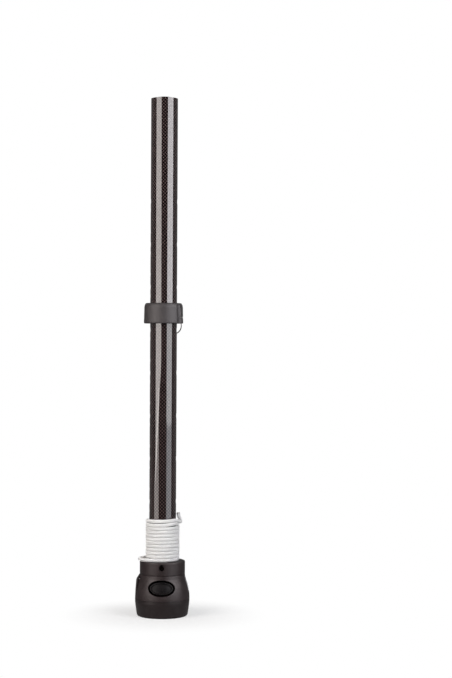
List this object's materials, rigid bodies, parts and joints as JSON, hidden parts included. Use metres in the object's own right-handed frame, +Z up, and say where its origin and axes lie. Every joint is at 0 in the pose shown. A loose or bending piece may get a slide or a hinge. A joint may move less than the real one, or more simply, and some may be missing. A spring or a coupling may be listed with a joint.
{
  "type": "windsurf mast extension",
  "caption": "Carbon-tube windsurf mast extension with a sliding stop collar, a moulded base with three rope sheaves, a rope cleat, a quick-release pin socket and its wound downhaul rope.",
  "frame": {"origin": "centre of the base pin socket's mouth, on the base's underside", "axes": "+Z up the tube, -Y towards the release button, +X towards the rope cleat"},
  "size_m": [0.0646, 0.0646, 0.615],
  "materials": {
    "carbon": "woven carbon fibre under a clear gloss coat",
    "plug_rubber": "matte moulded",
    "nylon": "moulded glass-filled nylon, soft sheen",
    "cap_nylon": "moulded nylon, smooth",
    "steel": "brushed stainless",
    "bush_metal": "turned",
    "dark_steel": "darkened stainless",
    "button_plastic": "moulded, satin",
    "sheave_plastic": "turned acetal",
    "aluminium": "machined",
    "collar_plastic": "fine moulded grain",
    "rope": "braided polyester"
  },
  "bodies": {
    "extension": {"carbon_tube": "carbon", "end_plug": "plug_rubber", "tube_insert": "nylon", "base_housing": "nylon", "bottom_cap": "cap_nylon", "cap_screws": "steel", "pin_bush": "bush_metal", "tube_screws": "dark_steel", "button_spring": "steel", "pulley_axle": "steel", "axle_clip": "steel", "sheave_guard": "nylon", "guard_screws": "steel", "rope_cleat": "aluminium", "cleat_screws": "steel", "rope_winding": "rope", "rope_lead": "rope", "rope_tail": "rope", "stopper_knot": "rope"},
    "collar": {"stop_collar": "collar_plastic", "spring_wire": "steel", "ring_tab": "steel"},
    "pin": {"lock_pin": "steel"},
    "ring": {"pull_ring": "dark_steel"},
    "release": {"release_button": "button_plastic", "lock_plate": "steel"},
    "front_sheave": {"sheave_front": "sheave_plastic"},
    "middle_sheave": {"sheave_middle": "sheave_plastic"},
    "rear_sheave": {"sheave_rear": "sheave_plastic"}
  },
  "joints": [
    {"name": "collar_slide", "type": "slide", "parent": "extension", "child": "collar", "axis": [0, 0, 1], "range_m": [-0.2032, 0.127]},
    {"name": "pin_slide", "type": "slide", "parent": "collar", "child": "pin", "axis": [1, 0, 0], "range_m": [0, 0.0032]},
    {"name": "ring_swing", "type": "hinge", "parent": "collar", "child": "ring", "pos_m": [0.01193, 0.02152, 0.354], "axis": [0.8746, -0.4848, 0], "range_deg": [0, 100]},
    {"name": "button_press", "type": "slide", "parent": "extension", "child": "release", "axis": [0, 1, 0], "range_m": [0, 0.004], "stiffness_N_per_m": 900, "deforming": ["button_spring"]},
    {"name": "front_sheave_spin", "type": "hinge", "parent": "extension", "child": "front_sheave", "pos_m": [-0.0218, -0.0054, 0.035], "axis": [0, 1, 0], "continuous": true},
    {"name": "middle_sheave_spin", "type": "hinge", "parent": "extension", "child": "middle_sheave", "pos_m": [-0.0218, 0, 0.035], "axis": [0, 1, 0], "continuous": true},
    {"name": "rear_sheave_spin", "type": "hinge", "parent": "extension", "child": "rear_sheave", "pos_m": [-0.0218, 0.0054, 0.035], "axis": [0, 1, 0], "continuous": true}
  ]
}
